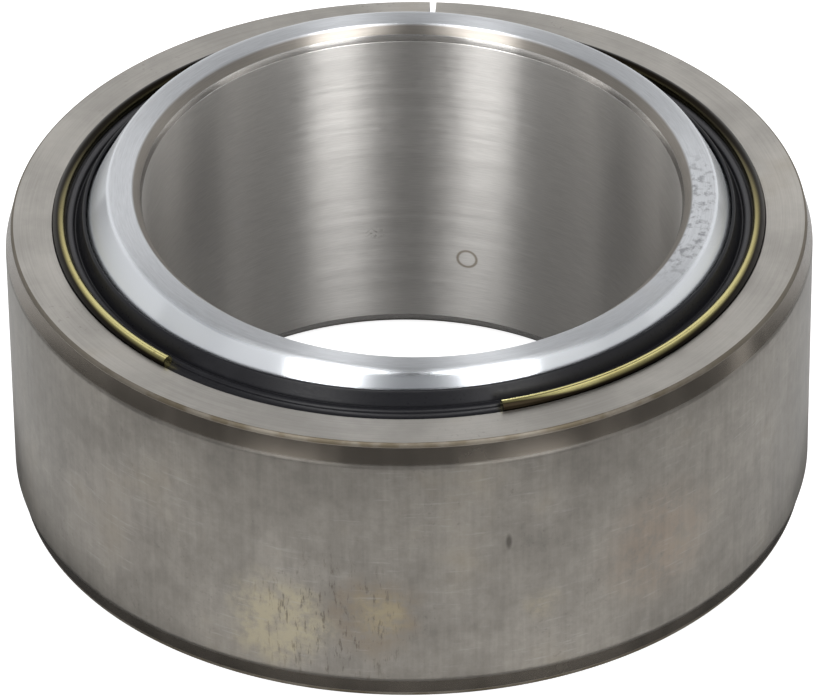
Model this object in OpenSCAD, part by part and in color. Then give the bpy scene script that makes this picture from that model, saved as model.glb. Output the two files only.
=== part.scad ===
// Radial spherical plain bearing, maintenance-free, sealed on both sides.
// The inner ring stands on the table: its axis is +Z and its lower end face is z = 0.
// The outer ring and all that it holds lean a little about the centre of the ball, as photographed.

/* [Main sizes] */
// Bore of the inner ring, mm
bore_d = 80; // [70:0.5:100]
// Thickness of the inner ring at the middle of the ball, mm
inner_wall = 13.2; // [11:0.1:16]
// Thickness of the outer ring and liner at the middle of the ball, mm
outer_wall = 6.8; // [6:0.1:12]
// Width of the inner ring, mm
inner_w = 57; // [50:0.5:64]
// Width of the outer ring, mm
outer_w = 45; // [38:0.5:50]

/* [Inner ring edges] */
// Length of the lead-in cone at each end of the bore, mm
bore_lead_h = 1.1; // [0.5:0.1:3]
// Slope of the lead-in cone from the bore, degrees
bore_lead_angle = 15; // [5:1:30]
// Width of the 45 degree chamfer between lead-in and end face, mm
bore_chamfer = 1.3; // [0.4:0.05:2]
// Radius of the round between ball and end face, mm
ball_edge_r = 1.5; // [0.4:0.1:2.5]

/* [Outer ring edges] */
// Length of the lead-in cone at each end of the outside, mm
lead_h = 3.2; // [1:0.1:5]
// Slope of the lead-in cone from the outside, degrees
lead_angle = 15; // [5:1:25]
// Length of the rounded edge between lead-in cone and side face, mm
face_edge_h = 0.6; // [0.2:0.1:1.5]
// Radial width of that rounded edge, mm
face_edge_w = 0.35; // [0.1:0.05:1]
// Width of the slot that splits the outer ring, mm
split_w = 1; // [0.3:0.05:2]
// Heading of the slot, degrees from +X
split_heading = 86; // [0:1:359]

/* [Liner] */
// Thickness of the bonded sliding liner, mm
liner_t = 0.5; // [0.3:0.05:1.5]
// Running clearance between liner and ball, mm
liner_gap = 0.05; // [0.02:0.01:0.2]
// Distance between the end of the liner and the floor of the seal pocket, mm
liner_end_gap = 0.3; // [0.1:0.1:1]

/* [Seals] */
// Depth of the seal pocket in each side face, mm
pocket_h = 4.2; // [3.4:0.1:6]
// Radial width of the seal pocket outside the ball, at the side face, mm
pocket_w = 4.7; // [4:0.05:6]
// Break on the edge between pocket and side face, mm
pocket_edge = 0.15; // [0.05:0.05:0.4]
// Play between the seal and its pocket, mm
seal_play = 0.03; // [0.01:0.01:0.1]
// Height of the wiping lip above the side face, mm
lip_rise = 1.7; // [0.8:0.1:2.5]
// Clearance of the lips over the ball, mm
lip_gap = 0.05; // [0.02:0.01:0.2]
// Depth of the grooves between the lips, mm
lip_groove = 0.5; // [0.3:0.05:1]

/* [Snap rings] */
// Diameter of the snap ring's wire, mm
wire_d = 1.9; // [1.4:0.05:2.3]
// Height of the middle of the wire above the side face, mm
wire_rise = 0.17; // [0:0.01:0.4]
// Play between the wire, its seat in the seal and the pocket wall, mm
wire_play = 0.03; // [0.01:0.01:0.1]
// Heading of the middle of the snap ring's opening, degrees from +X
opening_heading = 256; // [0:1:359]
// Opening of the snap ring, degrees
opening_angle = 57; // [10:1:90]

/* [Rest pose] */
// Lean of the outer ring in the rest pose, degrees
rest_tilt = 3.1; // [0:0.1:4]
// Heading of the axis of the lean, degrees from +X
tilt_heading = 21; // [-180:1:180]

/* [Hidden] */
$fn = 180;
arc_steps = 6;
arc_step = 15;
spare = 1;
ball_d = bore_d + 2 * inner_wall;
outer_d = ball_d + 2 * outer_wall;
ball_r = ball_d / 2;
bore_r = bore_d / 2;
outer_r = outer_d / 2;
half_inner = inner_w / 2;
half_outer = outer_w / 2;
bore_lead_w = bore_lead_h * tan(bore_lead_angle);
lead_w = lead_h * tan(lead_angle);
face_r = outer_r - lead_w - face_edge_w;
pocket_r = ball_at(half_outer) + pocket_w;
pocket_z = half_outer - pocket_h;
seal_r = pocket_r - seal_play;
seal_z = pocket_z + seal_play;
liner_in_r = ball_r + liner_gap;
race_r = liner_in_r + liner_t;
liner_half = pocket_z - liner_end_gap;
wire_r = wire_d / 2;
wire_path_r = pocket_r - wire_r - wire_play;
wire_z = half_outer + wire_rise;
// the round between ball and end face touches both
edge_z = half_inner - ball_edge_r;
edge_r = sqrt((ball_r - ball_edge_r) * (ball_r - ball_edge_r) - edge_z * edge_z);
edge_from = atan2(edge_z, edge_r);
edge_steps = 4;
edge_over = 0.02;
// the seal's flange reaches a little above the lowest third of the wire
flange_z = wire_rise - wire_r * 0.55;
// land of each lip on the ball, and the steps from one lip to the next
lip_land = 0.4;
lip_pitch = 1.75;
lip_first = 0.6;
groove_slope = 0.5;
bead_h = 0.25;
bead_w = 1.2;
valley_h = 0.65;
lip_back = 0.82;
steel = [0.72, 0.71, 0.69];
chrome = [0.83, 0.85, 0.88];
rubber = [0.09, 0.09, 0.11];
gold = [0.72, 0.64, 0.30];
fabric = [0.52, 0.36, 0.22];

// radius of the ball at a height above its centre
function ball_at(z) = sqrt(ball_r * ball_r - z * z);

// heights on the seal count from the side face
function lip_point(z, off) = [ball_at(half_outer + z) + off, half_outer + z];
function on_face(r, z) = [r, half_outer + z];

module ball_centre() {
    translate([0, 0, half_inner])
        children();
}

// everything held by the outer ring leans about the centre of the ball
module lean() {
    ball_centre()
        rotate([0, 0, tilt_heading])
            rotate([-rest_tilt, 0, 0])
                rotate([0, 0, -tilt_heading])
                    children();
}

// what comes off one end of the bore: lead-in cone and chamfer
module bore_end_cut() {
    lead_top = half_inner - bore_chamfer;
    lead_r = bore_r + bore_lead_w;
    rotate_extrude()
        polygon([
            [bore_r - spare, half_inner + spare],
            [bore_r - spare, lead_top - bore_lead_h],
            [bore_r, lead_top - bore_lead_h],
            [lead_r, lead_top],
            [lead_r + bore_chamfer + spare, half_inner + spare]]);
}

// what comes off the edge between ball and end face, to leave it round
module ball_edge_cut() {
    arc = [for (i = [0 : edge_steps - 1])
        let (t = 90 + (edge_from - 90) * i / edge_steps)
        [edge_r + ball_edge_r * cos(t), edge_z + ball_edge_r * sin(t)]];
    last = [(ball_r + edge_over) * cos(edge_from), (ball_r + edge_over) * sin(edge_from)];
    rotate_extrude()
        polygon(concat(
            arc,
            [last,
             [ball_r + spare, last[1]],
             [ball_r + spare, half_inner + spare],
             [edge_r, half_inner + spare]]));
}

module inner_ring() {
    color(chrome)
        ball_centre()
            difference() {
                intersection() {
                    sphere(r = ball_r);
                    cylinder(r = ball_r + spare, h = inner_w, center = true);
                }
                cylinder(r = bore_r, h = inner_w + 2 * spare, center = true);
                for (side = [0, 1])
                    mirror([0, 0, side]) {
                        bore_end_cut();
                        ball_edge_cut();
                    }
            }
}

// the slot that lets the outer ring be sprung over the ball
module split_cut() {
    rotate([0, 0, split_heading])
        translate([ball_r / 2, -split_w / 2, -outer_w])
            cube([outer_r, split_w, 2 * outer_w]);
}

// one half of the outside: lead-in cone, then a round edge that runs into the side face
function outer_edge(side) = [for (i = [0 : arc_steps])
    let (t = arc_step * i)
    [face_r + face_edge_w * sin(t), side * (half_outer - face_edge_h * (1 - cos(t)))]];

module outer_blank() {
    cone_end = half_outer - face_edge_h - lead_h;
    rotate_extrude()
        polygon(concat(
            [[ball_r / 2, half_outer]],
            outer_edge(1),
            [[outer_r, cone_end], [outer_r, -cone_end]],
            [for (i = [arc_steps : -1 : 0]) outer_edge(-1)[i]],
            [[ball_r / 2, -half_outer]]));
}

// the pocket that takes the seal, with its edge broken
module pocket_cut() {
    rotate_extrude()
        polygon([
            [0, pocket_z],
            [pocket_r, pocket_z],
            [pocket_r, half_outer - pocket_edge],
            [pocket_r + pocket_edge, half_outer],
            [pocket_r + pocket_edge, half_outer + spare],
            [0, half_outer + spare]]);
}

module outer_ring() {
    color(steel)
        lean()
            difference() {
                outer_blank();
                sphere(r = race_r);
                for (side = [0, 1])
                    mirror([0, 0, side])
                        pocket_cut();
                split_cut();
            }
}

module sliding_liner() {
    color(fabric)
        lean()
            difference() {
                intersection() {
                    sphere(r = race_r);
                    cylinder(r = race_r + spare, h = 2 * liner_half, center = true);
                }
                sphere(r = liner_in_r);
                split_cut();
            }
}

// one lip on the ball and the groove below it; k counts the lips from the side face down
function lip(k) =
    let (top = lip_first - k * lip_pitch)
    [lip_point(top, lip_gap),
     lip_point(top - lip_land, lip_gap),
     lip_point(top - lip_land - groove_slope, lip_groove),
     lip_point(top - lip_pitch + groove_slope / 2, lip_groove)];

// the space that the wire takes in the seal
module wire_seat() {
    translate([0, 0, wire_z])
        rotate_extrude()
            translate([wire_path_r, 0])
                circle(r = wire_r + wire_play, $fn = 48);
}

// section of the upper seal: flange with the wire's seat, bead, wiping lip and two inner lips
module seal_section() {
    bead_r = wire_path_r - wire_r - bead_w / 2;
    valley_r = bead_r - bead_w / 2 - bead_h;
    crest_r = lip_point(lip_rise, lip_back)[0];
    last_lip = lip(2);
    polygon(concat(
        [[seal_r, seal_z],
         on_face(seal_r, flange_z),
         on_face(bead_r + bead_w / 2 + bead_h, flange_z)],
        [for (i = [0 : arc_steps])
            let (t = 2 * arc_step * i)
            on_face(bead_r + bead_w / 2 * cos(t), 2 * bead_h * (sin(t) - 1))],
        [on_face(valley_r + bead_h / 2, -valley_h),
         on_face(valley_r - bead_h / 2, -valley_h),
         on_face(crest_r + bead_h, lip_rise - bead_h / 2),
         on_face(crest_r, lip_rise),
         on_face(crest_r - bead_h, lip_rise - bead_h / 2)],
        lip(0),
        lip(1),
        [last_lip[0], last_lip[1]],
        [[ball_at(seal_z) + lip_groove, seal_z]]));
}

module seal() {
    difference() {
        rotate_extrude()
            seal_section();
        wire_seat();
    }
}

module upper_seal() {
    color(rubber)
        lean()
            seal();
}

module lower_seal() {
    color(rubber)
        lean()
            mirror([0, 0, 1])
                seal();
}

// the open wire springs outwards in its seat and clamps the seal's flange in the pocket
module snap_ring() {
    rotate([0, 0, opening_heading + opening_angle / 2])
        translate([0, 0, wire_z])
            rotate_extrude(angle = 360 - opening_angle)
                translate([wire_path_r, 0])
                    circle(r = wire_r, $fn = 48);
}

module upper_snap_ring() {
    color(gold)
        lean()
            snap_ring();
}

module lower_snap_ring() {
    color(gold)
        lean()
            mirror([0, 0, 1])
                snap_ring();
}

inner_ring();
outer_ring();
sliding_liner();
upper_seal();
lower_seal();
upper_snap_ring();
lower_snap_ring();
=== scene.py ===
import math

import bmesh
import bpy
from mathutils import Matrix, Vector


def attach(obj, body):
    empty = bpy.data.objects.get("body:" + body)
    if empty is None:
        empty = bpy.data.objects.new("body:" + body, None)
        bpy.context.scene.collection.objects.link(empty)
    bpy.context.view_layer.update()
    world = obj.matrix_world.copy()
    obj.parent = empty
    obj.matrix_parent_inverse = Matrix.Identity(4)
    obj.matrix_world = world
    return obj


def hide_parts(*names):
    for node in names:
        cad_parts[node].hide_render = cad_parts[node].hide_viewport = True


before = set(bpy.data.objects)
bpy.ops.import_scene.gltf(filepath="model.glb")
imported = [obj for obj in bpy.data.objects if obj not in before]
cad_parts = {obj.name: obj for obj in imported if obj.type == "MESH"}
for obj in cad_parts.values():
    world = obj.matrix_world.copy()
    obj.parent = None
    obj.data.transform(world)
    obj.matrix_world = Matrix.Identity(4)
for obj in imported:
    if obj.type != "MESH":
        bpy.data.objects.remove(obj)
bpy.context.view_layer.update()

MM = 0.001

# Sizes of the bearing in millimetres, the same as in the part's source.
BORE_R = 40.0
BALL_R = 53.2
OUTER_R = 60.0
HALF_INNER = 28.5
HALF_OUTER = 22.5
LEAD_SLOPE = math.tan(math.radians(15))
BORE_LEAD_H = 1.1
BORE_LEAD_W = BORE_LEAD_H * LEAD_SLOPE
BORE_CHAMFER = 1.3
BALL_EDGE_R = 1.5
LEAD_H = 3.2
LEAD_W = LEAD_H * LEAD_SLOPE
FACE_EDGE_H = 0.6
FACE_EDGE_W = 0.35
SPLIT_W = 1.0
SPLIT_HEADING = 86
LINER_GAP = 0.05
LINER_T = 0.5
LINER_END_GAP = 0.3
LINER_IN_R = BALL_R + LINER_GAP
RACE_R = LINER_IN_R + LINER_T
POCKET_H = 4.2
POCKET_W = 4.7
POCKET_R = math.sqrt(BALL_R ** 2 - HALF_OUTER ** 2) + POCKET_W
POCKET_EDGE = 0.15
POCKET_Z = HALF_OUTER - POCKET_H
SEAL_PLAY = 0.03
LIP_RISE = 1.7
LIP_GAP = 0.05
LIP_GROOVE = 0.5
LIP_TOP = 0.6
LIP_PITCH = 1.75
LIP_LAND = 0.4
GROOVE_SLOPE = 0.5
SEAL_R = POCKET_R - SEAL_PLAY
WIRE_R = 0.95
WIRE_RISE = 0.17
WIRE_PLAY = 0.03
WIRE_PATH_R = POCKET_R - WIRE_R - WIRE_PLAY
OPENING_HEADING = 256
OPENING_ANGLE = 57
REST_TILT = 3.1
TILT_HEADING = 21

BALL_CENTRE = Vector((0, 0, HALF_INNER * MM))
TILT_AXIS = Vector((math.cos(math.radians(TILT_HEADING)), math.sin(math.radians(TILT_HEADING)), 0))
LEAN = Matrix.Rotation(math.radians(-REST_TILT), 4, TILT_AXIS)


# Profiles: closed outlines of (radius, height above the ball's centre), in millimetres.

def arc(cr, cz, radius, start, end, steps):
    out = []
    for i in range(steps + 1):
        a = math.radians(start + (end - start) * i / steps)
        out.append((cr + radius * math.cos(a), cz + radius * math.sin(a)))
    return out


def soften(points, radius, steps=4):
    """Rounds every corner of a closed outline, as a mould or a hone does."""
    out = []
    n = len(points)
    for i in range(n):
        p, a, b = Vector(points[i]), Vector(points[i - 1]), Vector(points[(i + 1) % n])
        da, db = a - p, b - p
        if da.angle(-db, 0) < math.radians(9):
            out.append(tuple(p))
            continue
        ra = min(radius, da.length * 0.45)
        rb = min(radius, db.length * 0.45)
        s, e = p + da.normalized() * ra, p + db.normalized() * rb
        for k in range(steps + 1):
            t = k / steps
            out.append(tuple(s * (1 - t) ** 2 + p * 2 * t * (1 - t) + e * t * t))
    return out


def ball_at(z):
    return math.sqrt(BALL_R ** 2 - z * z)


def mirrored(half):
    """Adds the lower half to an outline given from the middle up."""
    return half + [(r, -z) for r, z in reversed(half)]


def inner_ring_outline():
    lead_r = BORE_R + BORE_LEAD_W
    lead_top = HALF_INNER - BORE_CHAMFER
    low = lead_top - BORE_LEAD_H
    bore = [(BORE_R, low * i / 7) for i in range(7)]
    bore += [(BORE_R, low - 0.12), (BORE_R + 0.012, low + 0.05)]
    end_r = lead_r + BORE_CHAMFER
    chamfer = [(lead_r - 0.012, lead_top - 0.08), (lead_r + 0.06, lead_top + 0.07)]
    chamfer += [(end_r + out, HALF_INNER - down)
                for out, down in ((-0.12, 0.12), (-0.03, 0.045), (0.06, 0.01), (0.18, 0.0))]
    edge_z = HALF_INNER - BALL_EDGE_R
    edge_r = math.sqrt((BALL_R - BALL_EDGE_R) ** 2 - edge_z ** 2)
    start = math.degrees(math.atan2(edge_z, edge_r))
    rounding = arc(edge_r, edge_z, BALL_EDGE_R, 90, start, 12)
    return mirrored(bore + chamfer + rounding + arc(0, 0, BALL_R, start - 0.4, 0, 40))


def outer_ring_outline():
    face_r = OUTER_R - LEAD_W - FACE_EDGE_W
    race_top = math.degrees(math.asin(POCKET_Z / RACE_R))
    race = arc(0, 0, RACE_R, 0, race_top, 24)
    wall = [(POCKET_R, POCKET_Z), (POCKET_R, HALF_OUTER - POCKET_EDGE - 0.05),
            (POCKET_R + 0.04, HALF_OUTER - 0.07), (POCKET_R + POCKET_EDGE, HALF_OUTER)]
    edge = []
    for i in range(9):
        t = math.radians(90 * i / 8)
        edge.append((face_r + FACE_EDGE_W * math.sin(t), HALF_OUTER - FACE_EDGE_H * (1 - math.cos(t))))
    cone_end = HALF_OUTER - FACE_EDGE_H - LEAD_H
    outside = [(OUTER_R - 0.05, cone_end + 0.2), (OUTER_R - 0.012, cone_end + 0.03),
               (OUTER_R, cone_end - 0.25)]
    outside += [(OUTER_R, cone_end * i / 4) for i in (3, 2, 1, 0)]
    face_start = POCKET_R + POCKET_EDGE
    face = [(face_start + (face_r - face_start) * k, HALF_OUTER) for k in (0.03, 0.5, 0.97)]
    return mirrored(race + wall + face + edge + outside)


def liner_outline():
    half = POCKET_Z - LINER_END_GAP
    a = math.degrees(math.asin(half / LINER_IN_R))
    b = math.degrees(math.asin(half / RACE_R))
    return arc(0, 0, LINER_IN_R, -a, a, 24) + arc(0, 0, RACE_R, b, -b, 24)


def seal_outline():
    """The upper seal: flange with the wire's seat, bead, wiping lip and two inner lips."""
    f = HALF_OUTER
    seal_z = POCKET_Z + SEAL_PLAY
    bead_w, bead_h = 1.2, 0.25
    bead_r = WIRE_PATH_R - WIRE_R - bead_w / 2
    valley_r = bead_r - bead_w / 2 - bead_h
    crest_r = ball_at(f + LIP_RISE) + 0.82
    seat_r = WIRE_R + WIRE_PLAY
    flange_z = WIRE_RISE - WIRE_R * 0.55
    outer_end = math.degrees(math.asin((flange_z - WIRE_RISE) / seat_r))
    inner_end = -180 + 36
    flange = [(SEAL_R, seal_z), (SEAL_R, f + flange_z)]
    seat = arc(WIRE_PATH_R, f + WIRE_RISE, seat_r, outer_end, inner_end, 16)
    bead = []
    for i in range(13):
        t = math.radians(180 * i / 12)
        bead.append((bead_r + bead_w / 2 * math.cos(t), f + 2 * bead_h * (math.sin(t) - 1)))
    valley = [(valley_r + 0.12, f - 0.65), (valley_r - 0.12, f - 0.65)]
    crest = [(crest_r + 0.25, f + LIP_RISE - 0.12), (crest_r, f + LIP_RISE),
             (crest_r - 0.25, f + LIP_RISE - 0.12)]
    lips = []
    for k in range(3):
        top = LIP_TOP - LIP_PITCH * k
        land = top - LIP_LAND
        steps = [(top, LIP_GAP), (land, LIP_GAP), (land - GROOVE_SLOPE, LIP_GROOVE),
                 (top - LIP_PITCH + GROOVE_SLOPE / 2, LIP_GROOVE)]
        for z, off in steps[:2 if k == 2 else 4]:
            lips.append((ball_at(f + z) + off, f + z))
    base = [(ball_at(seal_z) + LIP_GROOVE, seal_z)]
    return soften(flange + seat + bead + valley + crest + lips + base, 0.2, 4)


def wire_outline():
    """The snap ring's round wire."""
    return arc(WIRE_PATH_R, HALF_OUTER + WIRE_RISE, WIRE_R, 0, 360 - 360 / 32, 31)


def upside_down(points):
    return [(r, -z) for r, z in points]


# Geometry Nodes tree that turns an outline about the bearing's axis.

def turning_tree():
    tree = bpy.data.node_groups.new("turned ring", "GeometryNodeTree")
    io = tree.interface
    io.new_socket("Outline", in_out="INPUT", socket_type="NodeSocketGeometry")
    for name, kind, default in (
        ("Segments", "NodeSocketInt", 360),
        ("Opening Heading", "NodeSocketFloat", 0.0),
        ("Opening Half Angle", "NodeSocketFloat", 0.0),
        ("Opening Half Width", "NodeSocketFloat", 0.0),
        ("Closed Ends", "NodeSocketFloat", 0.0),
        ("End Centre Radius", "NodeSocketFloat", 0.0),
        ("End Centre Height", "NodeSocketFloat", 0.0),
        ("Lean", "NodeSocketFloat", 0.0),
        ("Lean Axis", "NodeSocketVector", None),
        ("Ball Centre", "NodeSocketVector", None),
        ("Finish", "NodeSocketMaterial", None),
    ):
        s = io.new_socket(name, in_out="INPUT", socket_type=kind)
        if default is not None:
            s.default_value = default
    io.new_socket("Ring", in_out="OUTPUT", socket_type="NodeSocketGeometry")
    nodes, links = tree.nodes, tree.links
    given = nodes.new("NodeGroupInput")
    made = nodes.new("NodeGroupOutput")

    def node(kind, **values):
        n = nodes.new(kind)
        for k, v in values.items():
            setattr(n, k, v)
        return n

    def wire(value, socket):
        if isinstance(value, bpy.types.NodeSocket):
            links.new(value, socket)
        else:
            socket.default_value = value

    def calc(op, a, b=0.0, c=0.0):
        n = node("ShaderNodeMath", operation=op)
        for v, s in zip((a, b, c), n.inputs):
            wire(v, s)
        return n.outputs[0]

    size = node("GeometryNodeAttributeDomainSize", component="MESH")
    wire(given.outputs["Outline"], size.inputs[0])
    points = size.outputs["Point Count"]
    columns = calc("ADD", given.outputs["Segments"], 3.0)
    grid = node("GeometryNodeMeshGrid")
    wire(1.0, grid.inputs["Size X"])
    wire(1.0, grid.inputs["Size Y"])
    wire(points, grid.inputs["Vertices X"])
    wire(columns, grid.inputs["Vertices Y"])
    store_uv = node("GeometryNodeStoreNamedAttribute", data_type="FLOAT2", domain="CORNER")
    wire(grid.outputs["Mesh"], store_uv.inputs["Geometry"])
    wire("UVMap", store_uv.inputs["Name"])
    wire(grid.outputs["UV Map"], store_uv.inputs["Value"])

    place = node("GeometryNodeInputPosition")
    split = node("ShaderNodeSeparateXYZ")
    wire(place.outputs[0], split.inputs[0])
    last_point = calc("SUBTRACT", points, 1.0)
    last_column = calc("SUBTRACT", columns, 1.0)
    row = calc("ROUND", calc("MULTIPLY", calc("ADD", split.outputs["X"], 0.5), last_point))
    column = calc("ROUND", calc("MULTIPLY", calc("ADD", split.outputs["Y"], 0.5), last_column))
    sample = node("GeometryNodeSampleIndex", data_type="FLOAT_VECTOR", domain="POINT")
    wire(given.outputs["Outline"], sample.inputs["Geometry"])
    wire(place.outputs[0], sample.inputs["Value"])
    wire(row, sample.inputs["Index"])
    outline = node("ShaderNodeSeparateXYZ")
    wire(sample.outputs[0], outline.inputs[0])

    first_end = calc("LESS_THAN", column, 0.5)
    second_end = calc("GREATER_THAN", column, calc("SUBTRACT", last_column, 0.5))
    at_end = calc("MULTIPLY", calc("ADD", first_end, second_end), given.outputs["Closed Ends"])
    inside = calc("SUBTRACT", 1.0, at_end)
    radius = calc("ADD", calc("MULTIPLY", outline.outputs["X"], inside),
                  calc("MULTIPLY", given.outputs["End Centre Radius"], at_end))
    height = calc("ADD", calc("MULTIPLY", outline.outputs["Z"], inside),
                  calc("MULTIPLY", given.outputs["End Centre Height"], at_end))
    half = calc("ADD", given.outputs["Opening Half Angle"],
                calc("ARCSINE", calc("DIVIDE", given.outputs["Opening Half Width"], radius)))
    along = calc("DIVIDE", calc("SUBTRACT", column, 1.0), given.outputs["Segments"])
    along = calc("MINIMUM", calc("MAXIMUM", along, 0.0), 1.0)
    turn = calc("SUBTRACT", 2 * math.pi, calc("MULTIPLY", half, 2.0))
    angle = calc("ADD", calc("ADD", given.outputs["Opening Heading"], half), calc("MULTIPLY", along, turn))
    spot = node("ShaderNodeCombineXYZ")
    wire(calc("MULTIPLY", radius, calc("COSINE", angle)), spot.inputs["X"])
    wire(calc("MULTIPLY", radius, calc("SINE", angle)), spot.inputs["Y"])
    wire(height, spot.inputs["Z"])

    turned = node("GeometryNodeSetPosition")
    wire(store_uv.outputs["Geometry"], turned.inputs["Geometry"])
    wire(spot.outputs[0], turned.inputs["Position"])
    merged = node("GeometryNodeMergeByDistance")
    wire(turned.outputs[0], merged.inputs["Geometry"])
    wire(2e-6, merged.inputs["Distance"])
    keep = node("GeometryNodeStoreNamedAttribute", data_type="FLOAT_VECTOR", domain="POINT")
    wire(merged.outputs[0], keep.inputs["Geometry"])
    wire("own_place", keep.inputs["Name"])
    wire(place.outputs[0], keep.inputs["Value"])

    leaning = node("ShaderNodeVectorRotate", rotation_type="AXIS_ANGLE")
    wire(place.outputs[0], leaning.inputs["Vector"])
    wire(given.outputs["Lean Axis"], leaning.inputs["Axis"])
    wire(given.outputs["Lean"], leaning.inputs["Angle"])
    lifted = node("ShaderNodeVectorMath", operation="ADD")
    wire(leaning.outputs[0], lifted.inputs[0])
    wire(given.outputs["Ball Centre"], lifted.inputs[1])
    placed = node("GeometryNodeSetPosition")
    wire(keep.outputs["Geometry"], placed.inputs["Geometry"])
    wire(lifted.outputs[0], placed.inputs["Position"])

    smooth = node("GeometryNodeSetShadeSmooth", domain="FACE")
    wire(placed.outputs[0], smooth.inputs["Geometry"])
    bend = node("GeometryNodeInputMeshEdgeAngle")
    crease = node("GeometryNodeSetShadeSmooth", domain="EDGE")
    wire(smooth.outputs[0], crease.inputs["Geometry"])
    wire(calc("GREATER_THAN", bend.outputs["Unsigned Angle"], math.radians(28)), crease.inputs["Selection"])
    wire(False, crease.inputs["Shade Smooth"])
    real = node("GeometryNodeRealizeInstances")
    wire(crease.outputs[0], real.inputs[0])
    finish = node("GeometryNodeSetMaterial")
    wire(real.outputs[0], finish.inputs["Geometry"])
    wire(given.outputs["Finish"], finish.inputs["Material"])
    wire(finish.outputs[0], made.inputs[0])
    return tree


def turned_piece(name, points, tree, material, leaning, segments, heading=0.0, half_angle=0.0, half_width=0.0):
    """Turns an outline into a finished ring with its place in its mesh."""
    mesh = bpy.data.meshes.new(name + "_outline")
    ring = points + [points[0]]
    edges = [(i, i + 1) for i in range(len(ring) - 1)]
    mesh.from_pydata([(r * MM, 0, z * MM) for r, z in ring], edges, [])
    blank = bpy.data.objects.new(name + "_blank", mesh)
    bpy.context.scene.collection.objects.link(blank)
    turning = blank.modifiers.new("turning", "NODES")
    turning.node_group = tree
    ids = {s.name: s.identifier for s in tree.interface.items_tree
           if s.item_type == "SOCKET" and s.in_out == "INPUT"}
    radii = [r for r, z in points]
    heights = [z for r, z in points]
    is_open = half_angle > 0 or half_width > 0
    values = {
        "Segments": segments,
        "Opening Heading": math.radians(heading),
        "Opening Half Angle": half_angle,
        "Opening Half Width": half_width * MM,
        "Closed Ends": 1.0 if is_open else 0.0,
        "End Centre Radius": MM * (min(radii) + max(radii)) / 2,
        "End Centre Height": MM * (min(heights) + max(heights)) / 2,
        "Lean": math.radians(-REST_TILT) if leaning else 0.0,
        "Lean Axis": TILT_AXIS,
        "Ball Centre": BALL_CENTRE,
        "Finish": material,
    }
    for key, value in values.items():
        turning[ids[key]] = value
    depsgraph = bpy.context.evaluated_depsgraph_get()
    plain = bpy.data.meshes.new_from_object(
        blank.evaluated_get(depsgraph), preserve_all_data_layers=True, depsgraph=depsgraph)
    bpy.data.objects.remove(blank)
    bm = bmesh.new()
    bm.from_mesh(plain)
    bmesh.ops.dissolve_degenerate(bm, dist=1e-7, edges=bm.edges[:])
    if bm.calc_volume(signed=True) < 0:
        bmesh.ops.reverse_faces(bm, faces=bm.faces[:])
    bm.to_mesh(plain)
    bm.free()
    plain.name = name
    piece = bpy.data.objects.new(name, plain)
    bpy.context.scene.collection.objects.link(piece)
    return piece


# Shader node groups that several finishes share.

class Nodes:
    """Short ways to add and join nodes in one tree."""

    def __init__(self, tree):
        self.tree = tree

    def add(self, kind, **values):
        n = self.tree.nodes.new(kind)
        for k, v in values.items():
            setattr(n, k, v)
        return n

    def join(self, value, socket):
        if isinstance(value, bpy.types.NodeSocket):
            self.tree.links.new(value, socket)
        elif value is not None:
            socket.default_value = value

    def calc(self, op, a, b=0.0, c=0.0, clamp=False):
        n = self.add("ShaderNodeMath", operation=op, use_clamp=clamp)
        for v, s in zip((a, b, c), n.inputs):
            self.join(v, s)
        return n.outputs[0]

    def vector(self, op, a, b=None, scale=None):
        n = self.add("ShaderNodeVectorMath", operation=op)
        self.join(a, n.inputs[0])
        if b is not None:
            self.join(b, n.inputs[1])
        if scale is not None:
            self.join(scale, n.inputs["Scale"])
        return n.outputs["Value"] if op in ("LENGTH", "DOT_PRODUCT", "DISTANCE") else n.outputs[0]

    def parts(self, v):
        n = self.add("ShaderNodeSeparateXYZ")
        self.join(v, n.inputs[0])
        return n.outputs

    def combine(self, x, y, z):
        n = self.add("ShaderNodeCombineXYZ")
        for v, s in zip((x, y, z), n.inputs):
            self.join(v, s)
        return n.outputs[0]

    def axis_distance(self, x, y):
        return self.calc("SQRT", self.calc("ADD", self.calc("MULTIPLY", x, x), self.calc("MULTIPLY", y, y)))

    def noise(self, v, scale, detail=2.0, rough=0.5):
        n = self.add("ShaderNodeTexNoise")
        self.join(v, n.inputs["Vector"])
        self.join(scale, n.inputs["Scale"])
        n.inputs["Detail"].default_value = detail
        n.inputs["Roughness"].default_value = rough
        return n.outputs["Fac"]

    def ramp(self, v, low, high, a=0.0, b=1.0):
        n = self.add("ShaderNodeMapRange", interpolation_type="SMOOTHSTEP")
        for value, s in zip((v, low, high, a, b), n.inputs):
            self.join(value, s)
        return n.outputs[0]

    def blend(self, fac, a, b, mode="MIX"):
        n = self.add("ShaderNodeMix", data_type="RGBA", blend_type=mode)
        self.join(fac, n.inputs["Factor"])
        self.join(a, n.inputs["A"])
        self.join(b, n.inputs["B"])
        return n.outputs["Result"]

    def tint(self, mask, strength, base, colour):
        return self.blend(self.calc("MULTIPLY", mask, strength), base, colour)


def shader_group(name, inputs, outputs):
    tree = bpy.data.node_groups.new(name, "ShaderNodeTree")
    for label, kind, default in inputs:
        s = tree.interface.new_socket(label, in_out="INPUT", socket_type=kind)
        if default is not None:
            s.default_value = default
    for label, kind in outputs:
        tree.interface.new_socket(label, in_out="OUTPUT", socket_type=kind)
    n = Nodes(tree)
    return n, n.add("NodeGroupInput").outputs, n.add("NodeGroupOutput").inputs


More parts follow.
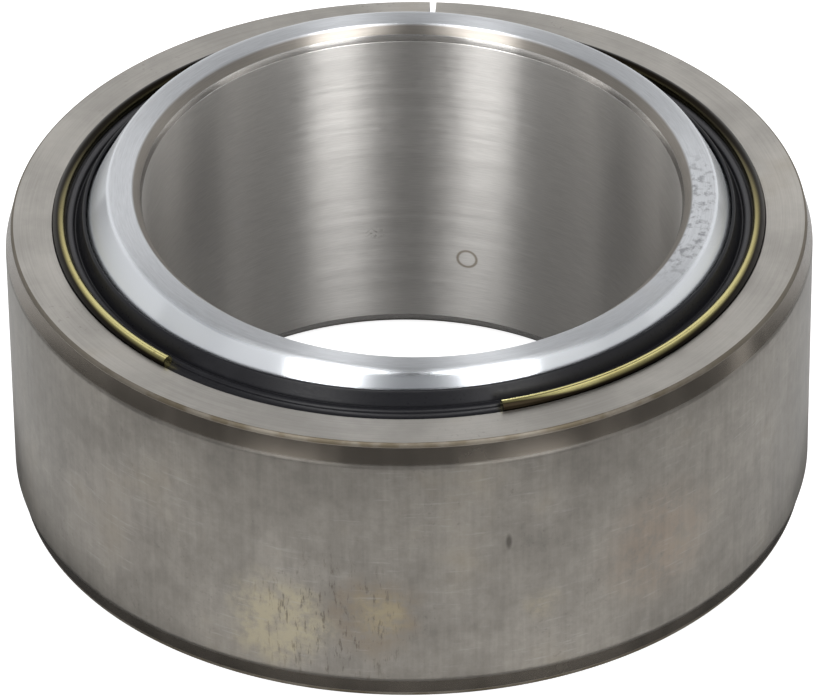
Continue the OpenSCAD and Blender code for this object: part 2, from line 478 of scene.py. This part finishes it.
def tool_marks_group():
    """Fine marks of turning or grinding that run round the axis."""
    n, given, out = shader_group(
        "tool marks",
        [("Place", "NodeSocketVector", None), ("Fineness", "NodeSocketFloat", 5000.0),
         ("Length", "NodeSocketFloat", 3.0)],
        [("Marks", "NodeSocketFloat"), ("Broad", "NodeSocketFloat")],
    )
    x, y, z = n.parts(given["Place"])
    r = n.axis_distance(x, y)
    across = n.calc("MULTIPLY", n.calc("ADD", r, z), given["Fineness"])
    fine = n.combine(n.calc("MULTIPLY", n.calc("DIVIDE", x, r), given["Length"]),
                     n.calc("MULTIPLY", n.calc("DIVIDE", y, r), given["Length"]), across)
    n.join(n.noise(fine, 1.0, 4.0, 0.65), out["Marks"])
    wide = n.combine(n.calc("DIVIDE", x, r), n.calc("DIVIDE", y, r), n.calc("MULTIPLY", across, 0.12))
    n.join(n.noise(wide, 1.6, 3.0, 0.5), out["Broad"])
    return n.tree


def tarnish_group():
    """Patches where handling and oil have stained the steel."""
    n, given, out = shader_group(
        "tarnish",
        [("Place", "NodeSocketVector", None), ("Size", "NodeSocketFloat", 0.02),
         ("Amount", "NodeSocketFloat", 0.5)],
        [("Patches", "NodeSocketFloat"), ("Specks", "NodeSocketFloat")],
    )
    scale = n.calc("DIVIDE", 1.0, given["Size"])
    cloud = n.noise(given["Place"], scale, 5.0, 0.6)
    low = n.calc("SUBTRACT", 0.72, n.calc("MULTIPLY", given["Amount"], 0.35))
    n.join(n.ramp(cloud, low, n.calc("ADD", low, 0.25)), out["Patches"])
    dots = n.noise(given["Place"], 1500.0, 2.0, 0.5)
    elsewhere = n.vector("ADD", given["Place"], (0.3, 0.1, 0.2))
    where = n.noise(elsewhere, n.calc("MULTIPLY", scale, 1.7), 3.0, 0.5)
    n.join(n.calc("MULTIPLY", n.ramp(dots, 0.62, 0.72), n.ramp(where, 0.5, 0.62)), out["Specks"])
    return n.tree


TOOL_MARKS = tool_marks_group()
TARNISH = tarnish_group()


def finish(name, roughness, metallic=1.0, anisotropy=0.0, specular=0.5):
    m = bpy.data.materials.new(name)
    m.use_nodes = True
    n = Nodes(m.node_tree)
    surface = m.node_tree.nodes["Principled BSDF"]
    surface.inputs["Roughness"].default_value = roughness
    surface.inputs["Metallic"].default_value = metallic
    surface.inputs["Specular IOR Level"].default_value = specular
    if anisotropy:
        surface.inputs["Anisotropic"].default_value = anisotropy
        tangent = n.add("ShaderNodeTangent", direction_type="UV_MAP", uv_map="UVMap")
        n.join(tangent.outputs[0], surface.inputs["Tangent"])
    own = n.add("ShaderNodeAttribute", attribute_name="own_place")
    return m, n, surface, own.outputs["Vector"]


def use_group(n, tree, **values):
    g = n.add("ShaderNodeGroup", node_tree=tree)
    for key, value in values.items():
        n.join(value, g.inputs[key])
    return g.outputs


def bump(n, surface, height, distance, strength=1.0):
    b = n.add("ShaderNodeBump")
    b.inputs["Strength"].default_value = strength
    b.inputs["Distance"].default_value = distance
    n.join(height, b.inputs["Height"])
    n.join(b.outputs[0], surface.inputs["Normal"])


def spot(n, place, centre, inner, outer, squash=(1.0, 1.0, 1.0)):
    """Fades from 1 at a place on a piece to 0 round it."""
    away = n.vector("MULTIPLY", n.vector("SUBTRACT", place, tuple(v * MM for v in centre)), squash)
    return n.ramp(n.vector("LENGTH", away), inner * MM, outer * MM, 1.0, 0.0)


def ring_steel():
    """Outer ring: turned side faces, ground outside with rub marks along the axis, brownish tarnish, and painted
    shade on its lead-in cones and on the rounded edges of its side faces.
    """
    m, n, s, place = finish("ring_steel", 0.36, anisotropy=0.5)
    marks = use_group(n, TOOL_MARKS, Place=place, Fineness=4200.0, Length=4.0)
    stain = use_group(n, TARNISH, Place=place, Size=0.016, Amount=0.5)
    x, y, z = n.parts(place)
    r = n.axis_distance(x, y)
    outside = n.ramp(r, 0.0598, 0.05995)
    inside = n.calc("SUBTRACT", 1.0, outside)
    rubs = n.noise(n.vector("MULTIPLY", place, (1.0, 1.0, 0.06)), 1100.0, 4.0, 0.6)
    wide_rubs = n.noise(n.vector("MULTIPLY", place, (1.0, 1.0, 0.25)), 130.0, 3.0, 0.5)
    high = n.calc("ABSOLUTE", z)
    rim = n.calc("MULTIPLY", n.ramp(r, 0.05872, 0.05880), n.ramp(high, 0.02175, 0.0219))
    cone = n.calc("SUBTRACT", n.calc("MULTIPLY", n.ramp(r, 0.0587, 0.0590), inside), rim, clamp=True)
    clouds = n.noise(place, 60.0, 5.0, 0.6)
    grain = n.noise(place, 420.0, 5.0, 0.7)
    wander = n.combine(n.noise(place, 260.0, 4.0, 0.6), 0.5, clouds)
    worn = n.vector("ADD", place, n.vector("SCALE", wander, scale=0.008))
    steel = n.blend(outside, (0.415, 0.396, 0.368, 1), (0.306, 0.285, 0.255, 1))
    turned = n.ramp(marks["Marks"], 0.3, 0.7, 0.93, 1.06)
    rubbed = n.calc("MULTIPLY", n.ramp(rubs, 0.3, 0.7, 0.94, 1.05), n.ramp(wide_rubs, 0.3, 0.7, 0.95, 1.04))
    rubbed = n.calc("MULTIPLY", rubbed, n.ramp(grain, 0.3, 0.7, 0.91, 1.08))
    tone = n.calc("ADD", n.calc("MULTIPLY", turned, inside), n.calc("MULTIPLY", rubbed, outside))
    tone = n.calc("MULTIPLY", tone, n.ramp(clouds, 0.3, 0.7, 0.84, 1.12))
    steel = n.blend(1.0, steel, n.combine(tone, tone, tone), "MULTIPLY")
    steel = n.tint(stain["Patches"], 0.35, steel, (0.33, 0.28, 0.20, 1))
    steel = n.tint(stain["Specks"], 0.25, steel, (0.12, 0.11, 0.10, 1))
    for centre, inner, outer, strength, colour in (
        ((-15.3, -52.8, -5.6), 4.5, 9.5, 0.85, (0.46, 0.41, 0.295, 1)),
        ((-1.8, -55.8, -3.5), 4.0, 9.0, 0.6, (0.25, 0.20, 0.145, 1)),
        ((-0.8, -55.8, -2.7), 1.0, 5.5, 0.7, (0.42, 0.36, 0.24, 1)),
        ((22.0, -51.5, -3.5), 0.5, 4.0, 0.5, (0.43, 0.37, 0.25, 1)),
        ((39.9, -44.0, 1.0), 4.0, 13.0, 0.4, (0.36, 0.27, 0.20, 1)),
        ((-39.0, -37.0, 2.0), 3.0, 14.0, 0.3, (0.33, 0.30, 0.27, 1)),
    ):
        patch = n.calc("MULTIPLY", spot(n, worn, centre, inner, outer), n.ramp(grain, 0.35, 0.6, 0.25, 1.0))
        steel = n.blend(n.calc("MULTIPLY", patch, strength), steel, colour)
    streaks = n.noise(n.vector("MULTIPLY", place, (1.0, 1.0, 0.2)), 1500.0, 4.0, 0.7)
    streaks = n.calc("MULTIPLY", n.ramp(streaks, 0.54, 0.66), spot(n, place, (-12.0, -58.8, -9.0), 6.0, 16.0))
    steel = n.tint(streaks, 0.65, steel, (0.12, 0.10, 0.08, 1))
    scuffs = n.noise(n.vector("MULTIPLY", place, (0.10, 0.10, 1.0)), 1700.0, 4.0, 0.65)
    scuffs = n.calc("MULTIPLY", n.ramp(scuffs, 0.56, 0.68), n.calc("MULTIPLY", n.ramp(clouds, 0.42, 0.60), outside))
    steel = n.tint(scuffs, 0.35, steel, (0.46, 0.44, 0.41, 1))
    nick = spot(n, place, (13.84, -58.38, 4.6), 0.3, 1.1, (1.7, 1.7, 0.6))
    steel = n.tint(nick, 0.8, steel, (0.10, 0.09, 0.08, 1))
    # Painted shade and dirt: the rounded edges of the side faces are painted dark all round as painted shade, with
    # brown dirt added towards the front.
    dirt = n.ramp(n.noise(place, 150.0, 4.0, 0.6), 0.4, 0.6)
    dirt = n.calc("MULTIPLY", dirt, n.ramp(y, -0.050, -0.030, 1.0, 0.2))
    rim_shade_and_dirt_colour = n.blend(dirt, (0.18, 0.16, 0.13, 1), (0.10, 0.08, 0.05, 1))
    steel = n.tint(rim, 0.92, steel, rim_shade_and_dirt_colour)
    # Painted shade: the lead-in cones are painted darker than the rest of the ring.
    steel = n.tint(cone, 0.8, steel, (0.25, 0.215, 0.175, 1))
    n.join(steel, s.inputs["Base Color"])
    rough = n.calc("ADD", n.ramp(wide_rubs, 0.3, 0.7, 0.31, 0.37), n.calc("MULTIPLY", stain["Patches"], 0.06))
    rough = n.calc("SUBTRACT", rough, n.calc("MULTIPLY", cone, 0.10))
    rough = n.calc("ADD", rough, n.calc("MULTIPLY", rim, 0.28))
    n.join(rough, s.inputs["Roughness"])
    grooves = n.calc("MULTIPLY", marks["Marks"], n.calc("SUBTRACT", inside, cone))
    bump(n, s, n.calc("ADD", grooves, n.calc("MULTIPLY", rubs, outside)), 0.000012, 0.5)
    return m


def ball_steel():
    """Inner ring: chromed ball, ground end faces, bore ground round the axis with plain lead-ins, and painted shade
    on the chamfers at the bore's ends.
    """
    m, n, s, place = finish("ball_steel", 0.2, anisotropy=1.0)
    marks = use_group(n, TOOL_MARKS, Place=place, Fineness=7000.0, Length=14.0)
    stain = use_group(n, TARNISH, Place=place, Size=0.02, Amount=0.35)
    x, y, z = n.parts(place)
    r = n.axis_distance(x, y)
    on_ball = n.ramp(n.vector("LENGTH", place), 0.05295, 0.05315)
    off_ball = n.calc("SUBTRACT", 1.0, on_ball)
    inside = n.ramp(r, 0.0412, 0.0416, 1.0, 0.0)
    away = n.calc("ABSOLUTE", z)
    chamfer = n.calc("MULTIPLY", n.ramp(away, 0.02712, 0.02726), inside)
    lead = n.calc("SUBTRACT", n.calc("MULTIPLY", n.ramp(away, 0.02605, 0.0262), inside), chamfer)
    bore = n.calc("SUBTRACT", n.calc("SUBTRACT", inside, lead), chamfer)
    tone = n.ramp(marks["Marks"], 0.3, 0.7, 0.92, 1.07)
    ground = n.blend(n.calc("ADD", bore, lead), (0.58, 0.595, 0.62, 1), (0.55, 0.535, 0.515, 1))
    # Painted shade: the chamfers at the bore's ends are painted much darker than the other ground faces.
    ground = n.blend(chamfer, ground, (0.27, 0.25, 0.225, 1))
    ground = n.blend(1.0, ground, n.combine(tone, tone, tone), "MULTIPLY")
    ground = n.tint(stain["Patches"], 0.2, ground, (0.40, 0.36, 0.29, 1))
    handled = spot(n, place, (43.5, -8.0, 28.5), 8.0, 20.0)
    handled = n.calc("MULTIPLY", handled, n.calc("SUBTRACT", 1.0, inside))
    mottle = n.ramp(n.noise(place, 800.0, 4.0, 0.65), 0.47, 0.66)
    ground = n.blend(n.calc("MULTIPLY", n.calc("MULTIPLY", mottle, 0.6), handled), ground, (0.14, 0.14, 0.15, 1))
    drop = n.vector("LENGTH", n.vector("SUBTRACT", place, tuple(v * MM for v in (9.21, 38.93, -14.5))))
    dried = n.calc("MULTIPLY", n.ramp(drop, 0.00115, 0.00145), n.ramp(drop, 0.00155, 0.00185, 1.0, 0.0))
    ground = n.tint(dried, 0.75, ground, (0.18, 0.145, 0.10, 1))
    # Darkens a mottled patch of the bore's rear wall, at the left edge of its dark middle band.
    bore_dark_patch = spot(n, place, (-5.1, 39.7, -10.1), 0.4, 2.2, (1.0, 1.0, 1.6))
    bore_dark_patch = n.calc("MULTIPLY", bore_dark_patch, n.ramp(n.noise(place, 2200.0, 3.0, 0.6), 0.5, 0.6))
    ground = n.tint(bore_dark_patch, 0.6, ground, (0.20, 0.19, 0.17, 1))
    n.join(n.blend(on_ball, ground, (0.70, 0.725, 0.76, 1)), s.inputs["Base Color"])
    rough = n.calc("ADD", n.ramp(marks["Broad"], 0.3, 0.7, 0.30, 0.33), n.calc("MULTIPLY", bore, 0.06))
    rough = n.calc("ADD", rough, n.calc("MULTIPLY", chamfer, 0.03))
    rough = n.calc("SUBTRACT", rough, n.calc("MULTIPLY", lead, 0.11))
    rough = n.calc("ADD", n.calc("MULTIPLY", on_ball, 0.24), n.calc("MULTIPLY", off_ball, rough))
    n.join(rough, s.inputs["Roughness"])
    waves = n.calc("MULTIPLY", n.noise(place, 120.0, 2.0, 0.5), n.calc("MULTIPLY", bore, 20.0))
    bump(n, s, n.calc("ADD", n.calc("MULTIPLY", marks["Marks"], off_ball), waves), 0.00001, 0.4)
    return m


def seal_rubber():
    """Smooth black elastomer, its bead painted a little lighter towards the sides and rear as a painted sheen."""
    m, n, s, place = finish("seal_rubber", 0.32, metallic=0.0, specular=0.17)
    stain = use_group(n, TARNISH, Place=place, Size=0.012, Amount=0.4)
    grain = n.noise(place, 2600.0, 3.0, 0.6)
    x, y, z = n.parts(place)
    r = n.axis_distance(x, y)
    # Painted sheen: the bead is painted a little lighter towards the sides and rear.
    bead = n.calc("MULTIPLY", n.ramp(r, 0.0497, 0.0500), n.ramp(y, -0.035, 0.0))
    colour = n.blend(stain["Patches"], (0.006, 0.006, 0.0075, 1), (0.013, 0.013, 0.015, 1))
    colour = n.tint(bead, 0.7, colour, (0.055, 0.054, 0.058, 1))
    n.join(colour, s.inputs["Base Color"])
    n.join(n.ramp(grain, 0.3, 0.7, 0.27, 0.38), s.inputs["Roughness"])
    bump(n, s, grain, 0.00003, 0.35)
    return m


def snap_ring_steel():
    """Yellow passivated wire, with painted shade: near black on its outer side against the pocket wall, and darker
    and duller towards the rear.
    """
    m, n, s, place = finish("snap_ring_steel", 0.2)
    stain = use_group(n, TARNISH, Place=place, Size=0.01, Amount=0.5)
    x, y, z = n.parts(place)
    r = n.axis_distance(x, y)
    smooth = n.noise(place, 300.0, 2.0, 0.5)
    colour = n.blend(stain["Patches"], (0.74, 0.67, 0.30, 1), (0.64, 0.56, 0.23, 1))
    colour = n.tint(stain["Specks"], 0.5, colour, (0.25, 0.18, 0.08, 1))
    # Painted shade: the wire is painted darker and duller towards the rear.
    colour = n.blend(n.ramp(y, -0.042, 0.0, 0.0, 0.65), colour, (0.27, 0.22, 0.085, 1))
    colour = n.blend(n.ramp(y, -0.014, 0.010, 0.0, 0.8), colour, (0.06, 0.052, 0.035, 1))
    # Painted shade: the wire's outer side, against the pocket wall, is painted near black, over more of the wire
    # towards the rear and near its end.
    end = math.radians(OPENING_HEADING + OPENING_ANGLE / 2)
    end_place = (WIRE_PATH_R * math.cos(end), WIRE_PATH_R * math.sin(end), HALF_OUTER + WIRE_RISE)
    reach = n.ramp(y, -0.045, 0.004, (WIRE_PATH_R + 0.80) * MM, (WIRE_PATH_R + 0.15) * MM)
    reach = n.calc("SUBTRACT", reach, n.ramp(y, 0.0, 0.022, 0.0, 0.0008))
    reach = n.calc("SUBTRACT", reach, n.calc("MULTIPLY", spot(n, place, end_place, 0.0, 13.0), 0.0004))
    crevice_shade = n.ramp(n.calc("SUBTRACT", r, reach), -0.00055, 0.00015)
    n.join(n.blend(crevice_shade, colour, (0.010, 0.0075, 0.0045, 1)), s.inputs["Base Color"])
    rough = n.calc("ADD", n.ramp(smooth, 0.3, 0.7, 0.18, 0.24), n.calc("MULTIPLY", crevice_shade, 0.1))
    n.join(rough, s.inputs["Roughness"])
    bump(n, s, smooth, 0.00002, 0.15)
    return m


def liner_fabric():
    """Woven sliding fabric in resin."""
    m, n, s, place = finish("liner_fabric", 0.6, metallic=0.0)
    x, y, z = n.parts(place)
    turn = n.calc("ARCTAN2", y, x)
    warp = n.calc("SINE", n.calc("MULTIPLY", turn, 300.0))
    weft = n.calc("SINE", n.calc("MULTIPLY", z, 6000.0))
    weave = n.calc("MULTIPLY", warp, weft)
    stain = use_group(n, TARNISH, Place=place, Size=0.01, Amount=0.5)
    colour = n.blend(n.ramp(weave, -0.6, 0.6), (0.30, 0.19, 0.10, 1), (0.52, 0.36, 0.20, 1))
    n.join(n.tint(stain["Patches"], 0.3, colour, (0.2, 0.13, 0.08, 1)), s.inputs["Base Color"])
    n.join(n.ramp(weave, -1.0, 1.0, 0.5, 0.7), s.inputs["Roughness"])
    bump(n, s, weave, 0.00006, 0.6)
    return m


turning = turning_tree()
steel = ring_steel()
chrome = ball_steel()
rubber = seal_rubber()
gold = snap_ring_steel()
fabric = liner_fabric()

split = {"heading": SPLIT_HEADING, "half_width": SPLIT_W / 2}
opening = {"heading": OPENING_HEADING, "half_angle": math.radians(OPENING_ANGLE / 2)}
pieces = []
for node_name, made_name, outline, material, leaning, segments, gap, body, slot_name in (
    ("inner_ring", "inner_ring_turned", inner_ring_outline(), chrome, False, 600, {}, "inner", "ball_steel"),
    ("outer_ring", "outer_ring_turned", outer_ring_outline(), steel, True, 600, split, "outer", "ring_steel"),
    ("sliding_liner", "sliding_liner_turned", liner_outline(), fabric, True, 360, split, "outer", "liner_fabric"),
    ("upper_seal", "upper_seal_moulded", seal_outline(), rubber, True, 480, {}, "seals", "seal_rubber"),
    ("lower_seal", "lower_seal_moulded", upside_down(seal_outline()), rubber, True, 480, {}, "seals", "seal_rubber"),
    ("upper_snap_ring", "upper_snap_ring_wire", wire_outline(), gold, True, 400, opening,
     "seals", "snap_ring_steel"),
    ("lower_snap_ring", "lower_snap_ring_wire", upside_down(wire_outline()), gold, True, 400, opening,
     "seals", "snap_ring_steel"),
):
    piece = turned_piece(made_name, outline, turning, material, leaning, segments, **gap)
    pieces.append((node_name, piece, body, slot_name))
for node_name, piece, body, slot_name in pieces:
    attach(piece, body)
    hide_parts(node_name)


# Camera: found by fitting the outer ring's edges, then leaned with the outer ring.

IMAGE_W = 823
SENSOR_W = 36.0
ELEVATION = math.radians(34.781)
ROLL = -0.01133
DISTANCE = 1136.56
FOCAL_PX = 7557.37
TARGET = Vector((0.158, 0.0, -2.19))

forward = Vector((0, math.cos(ELEVATION), -math.sin(ELEVATION)))
right = Vector((1, 0, 0))
up = right.cross(forward)
eye = TARGET - forward * DISTANCE
right_rolled = right * math.cos(ROLL) + up * math.sin(ROLL)
up_rolled = up * math.cos(ROLL) - right * math.sin(ROLL)
turn = LEAN.to_3x3()
columns = [turn @ right_rolled, turn @ up_rolled, turn @ -forward]
camera_data = bpy.data.cameras.new("camera")
camera_data.sensor_fit = "HORIZONTAL"
camera_data.sensor_width = SENSOR_W
camera_data.lens = SENSOR_W * FOCAL_PX / IMAGE_W
camera_data.clip_start = 0.01
camera_data.clip_end = 50
camera = bpy.data.objects.new("camera", camera_data)
bpy.context.scene.collection.objects.link(camera)
rotation = Matrix((columns[0], columns[1], columns[2])).transposed()
camera.matrix_world = Matrix.Translation(BALL_CENTRE + turn @ (eye * MM)) @ rotation.to_4x4()
bpy.context.scene.camera = camera


# Stage: pale floor, white surroundings, and dark studio cards and soft boxes that the steel mirrors.

def matt(name, shade):
    m = bpy.data.materials.new(name)
    m.use_nodes = True
    n = Nodes(m.node_tree)
    m.node_tree.nodes.remove(m.node_tree.nodes["Principled BSDF"])
    surface = n.add("ShaderNodeBsdfDiffuse")
    surface.inputs["Color"].default_value = (shade, shade, shade, 1)
    n.join(surface.outputs[0], m.node_tree.nodes["Material Output"].inputs["Surface"])
    return m, n, surface


def floor_paper():
    """Pale paper that keeps the object's shadow; to the camera it is lifted to the white of the background."""
    m, n, surface = matt("floor_paper", 0.5)
    path = n.add("ShaderNodeLightPath")
    white = n.add("ShaderNodeEmission")
    seen = n.calc("MAXIMUM", path.outputs["Is Camera Ray"], path.outputs["Is Transmission Ray"])
    seen = n.calc("MULTIPLY_ADD", path.outputs["Is Glossy Ray"], 0.05, seen)
    n.join(n.calc("MULTIPLY", seen, 0.85), white.inputs["Strength"])
    both = n.add("ShaderNodeAddShader")
    n.join(surface.outputs[0], both.inputs[0])
    n.join(white.outputs[0], both.inputs[1])
    n.join(both.outputs[0], m.node_tree.nodes["Material Output"].inputs["Surface"])
    return m


def stage_piece(name, points, faces, material, seen=True):
    mesh = bpy.data.meshes.new(name)
    mesh.from_pydata(points, [], faces)
    mesh.materials.append(material)
    piece = bpy.data.objects.new(name, mesh)
    piece.visible_camera = seen
    bpy.context.scene.collection.objects.link(piece)


def card(name, turn_from, turn_to, rise_from, rise_to, material, distance=2.0, steps=12):
    """A curved card round the object, from one heading and elevation to another, out of the picture."""
    points = []
    for rise in (rise_from, (rise_from + rise_to) / 2, rise_to):
        for i in range(steps + 1):
            a = math.radians(turn_from + (turn_to - turn_from) * i / steps)
            e = math.radians(rise)
            level = distance * math.cos(e)
            points.append((level * math.cos(a), level * math.sin(a), distance * math.sin(e)))
    row = steps + 1
    faces = [(k + i, k + i + 1, k + row + i + 1, k + row + i) for k in (0, row) for i in range(steps)]
    stage_piece(name, points, faces, material, False)


COUNT = 64
FLOOR_Z = -0.0002
CLOTH_Z = FLOOR_Z + 0.00005
PAD_Z = FLOOR_Z + 0.0001
PAPER_R = 0.30
CLOTH_RADII = (0.15, 0.38, 6.0)
BORE_PAD_R = 0.046
PAD_R = 0.070
NO_CLOTH_BEHIND = range(8, 24)
NO_CLOTH_UNDER_BOXES = (41, 42, 43, 52, 53, 54)


def around(radius, height):
    turns = [2 * math.pi * i / COUNT for i in range(COUNT)]
    return [(radius * math.cos(a), radius * math.sin(a), height) for a in turns]


def between(inner, steps):
    """Faces from one circle of points to the next."""
    return [(inner + i, inner + COUNT + i, inner + COUNT + (i + 1) % COUNT, inner + (i + 1) % COUNT) for i in steps]


cloth = matt("dark_cloth", 0.06)[0]
black = matt("black_card", 0.05)[0]
grey = matt("grey_card", 0.10)[0]
pale = matt("pale_card", 0.60)[0]
white = matt("white_card", 0.95)[0]
disc = [tuple(range(COUNT))]
stage_piece("floor", around(PAPER_R, FLOOR_Z), disc, floor_paper())

# Cloths on the floor that only reflections show: the paper alone takes the light and the shadow.
near_cloth = between(0, [i for i in range(COUNT - 1) if i not in NO_CLOTH_BEHIND])
far_cloth = between(COUNT, [i for i in range(COUNT // 2, COUNT - 1) if i not in NO_CLOTH_UNDER_BOXES])
circles = [around(r, CLOTH_Z) for r in CLOTH_RADII]
stage_piece("cloth", circles[0] + circles[1] + circles[2], near_cloth + far_cloth, cloth, False)
# Painted shade: a dark ring and a grey disc on the floor under the bearing, seen only in reflections, stand in for
# the shade beneath it and inside the bore.
pad = around(BORE_PAD_R, PAD_Z) + around(PAD_R, PAD_Z)
stage_piece("pad", pad, between(0, range(COUNT)), cloth, False)
stage_piece("bore_pad", around(BORE_PAD_R, PAD_Z), disc, matt("grey_pad", 0.16)[0], False)
for name in ("cloth", "pad", "bore_pad"):
    bpy.data.objects[name].visible_shadow = False
    bpy.data.objects[name].visible_diffuse = False

# Cards by heading and elevation in degrees; the camera stands at heading -90.
card("card_behind", 65, 115, 42, 85, grey)
card("card_front", -118, -62, 0, 12, black)
card("card_middle", -108, -72, 12, 30, white)
card("card_above", -108, -72, 30, 80, grey)
card("card_left", 145, 200, 26, 60, pale)
card("card_right", -20, 35, 26, 60, pale)

world = bpy.data.worlds.new("studio")
bpy.context.scene.world = world
world.use_nodes = True
wn = Nodes(world.node_tree)
path = wn.add("ShaderNodeLightPath")
seen = wn.calc("MAXIMUM", path.outputs["Is Glossy Ray"], path.outputs["Is Transmission Ray"])
seen = wn.calc("MAXIMUM", path.outputs["Is Camera Ray"], seen)
wn.join(wn.blend(seen, (0.7, 0.71, 0.72, 1), (1, 1, 1, 1)), world.node_tree.nodes["Background"].inputs["Color"])


def soft_box(name, azimuth, elevation, distance, width, height, power):
    light = bpy.data.lights.new(name, "AREA")
    light.shape = "RECTANGLE"
    light.size = width
    light.size_y = height
    light.energy = power
    box = bpy.data.objects.new(name, light)
    a, e = math.radians(azimuth), math.radians(elevation)
    way_out = Vector((math.cos(e) * math.cos(a), math.cos(e) * math.sin(a), math.sin(e)))
    box.location = BALL_CENTRE + way_out * distance
    box.rotation_euler = way_out.to_track_quat("Z", "Y").to_euler()
    bpy.context.scene.collection.objects.link(box)


for side, heading in (("left", -122), ("right", -58)):
    soft_box("soft_box_" + side, heading, elevation=42, distance=1.3, width=0.46, height=1.5, power=14.0)

bpy.context.scene.view_settings.view_transform = "Standard"
